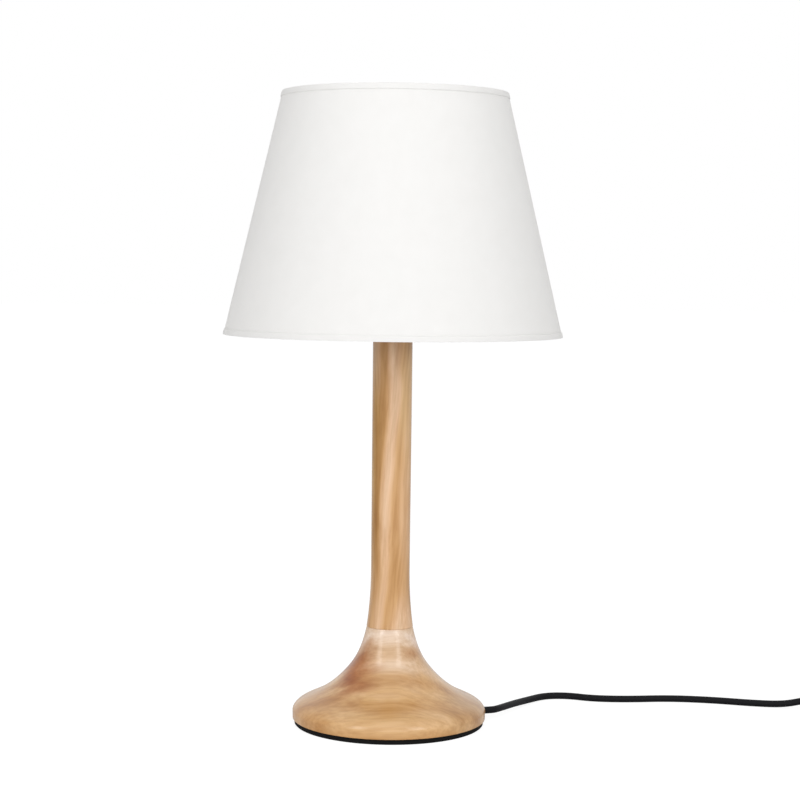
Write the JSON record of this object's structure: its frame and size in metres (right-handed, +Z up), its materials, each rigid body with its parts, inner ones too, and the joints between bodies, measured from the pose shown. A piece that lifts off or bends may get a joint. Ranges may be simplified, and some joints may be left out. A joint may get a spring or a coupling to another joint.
{
  "type": "column table lamp",
  "caption": "Table lamp with a turned wooden trumpet base and column, a tapered fabric shade, a screw-in bulb and a black cord with an inline switch.",
  "frame": {"origin": "middle of the foot pad's underside, on the table", "axes": "+Z up along the column's axis, -Y towards the viewer of the picture, +X to the right, where the cord leaves"},
  "size_m": [0.5957, 0.27, 0.5],
  "materials": {
    "wood": "satin lacquer over pale oak-like grain",
    "pad_foam": "matt black foam rubber",
    "cast_weight": "raw casting",
    "zinc": "zinc plated",
    "holder_plastic": "white thermoplastic",
    "ceramic": "white glazed steatite",
    "brass": "bare brass",
    "nickel": "nickel plated brass",
    "black_glass": "black glass",
    "bulb_plastic": "white plastic over an aluminium heat sink",
    "opal": "opal diffuser",
    "board": "white solder mask on aluminium",
    "shade_fabric": "off-white cotton laminated on film",
    "white_wire": "white enamelled steel wire",
    "cord_black": "matt black flexible cord sheath",
    "brown_core": "brown insulation",
    "blue_core": "blue insulation",
    "tie_fabric": "black hook-and-loop band",
    "switch_plastic": "black moulded plastic",
    "rocker_plastic": "black moulded plastic"
  },
  "bodies": {
    "root": {"base_pad": "pad_foam", "base_weight": "cast_weight", "weight_screws": "zinc", "wooden_base": "wood", "wooden_column": "wood", "threaded_tube": "zinc", "lower_washer": "zinc", "lower_nut": "zinc", "upper_nut": "zinc", "column_collar": "zinc", "holder_cap": "holder_plastic", "holder_body": "holder_plastic", "contact_carrier": "ceramic", "terminal_screws": "brass", "screw_shell": "brass", "centre_contact": "brass", "shade_ring": "holder_plastic", "shade_skin": "shade_fabric", "bottom_hem": "shade_fabric", "top_hem": "shade_fabric", "shade_frame": "white_wire", "upper_ring": "white_wire", "cord_bush": "cord_black", "inner_lead": "cord_black", "live_core": "brown_core", "neutral_core": "blue_core", "cord_lead": "cord_black", "cord_link": "cord_black", "cord_coil": "cord_black", "cord_tail": "cord_black", "cord_tie": "tie_fabric", "switch_lower_shell": "switch_plastic", "switch_upper_shell": "switch_plastic", "rocker_pin": "zinc", "switch_screws": "zinc", "plug_body": "switch_plastic", "plug_pins": "nickel"},
    "bulb_lift": {"bulb_contact": "brass"},
    "bulb": {"bulb_insulator": "black_glass", "bulb_cap": "nickel", "bulb_housing": "bulb_plastic", "bulb_globe": "opal", "led_board": "board"},
    "rocker": {"switch_rocker": "rocker_plastic"}
  },
  "joints": [
    {"name": "bulb_rise", "type": "slide", "parent": "root", "child": "bulb_lift", "axis": [0, 0, 1], "range_m": [0, 0.01814]},
    {"name": "bulb_turn", "type": "hinge", "parent": "bulb_lift", "child": "bulb", "pos_m": [0, 0, 0.4], "axis": [0, 0, 1], "range_deg": [0, 1800]},
    {"name": "rocker_tilt", "type": "hinge", "parent": "root", "child": "rocker", "pos_m": [0.396, 0.062, 0.0152], "axis": [0, 1, 0], "range_deg": [-7, 7]}
  ],
  "couplings": [
    {"joint": "bulb_rise", "follows": "bulb_turn", "m_per_rad": 0.00057741}
  ]
}
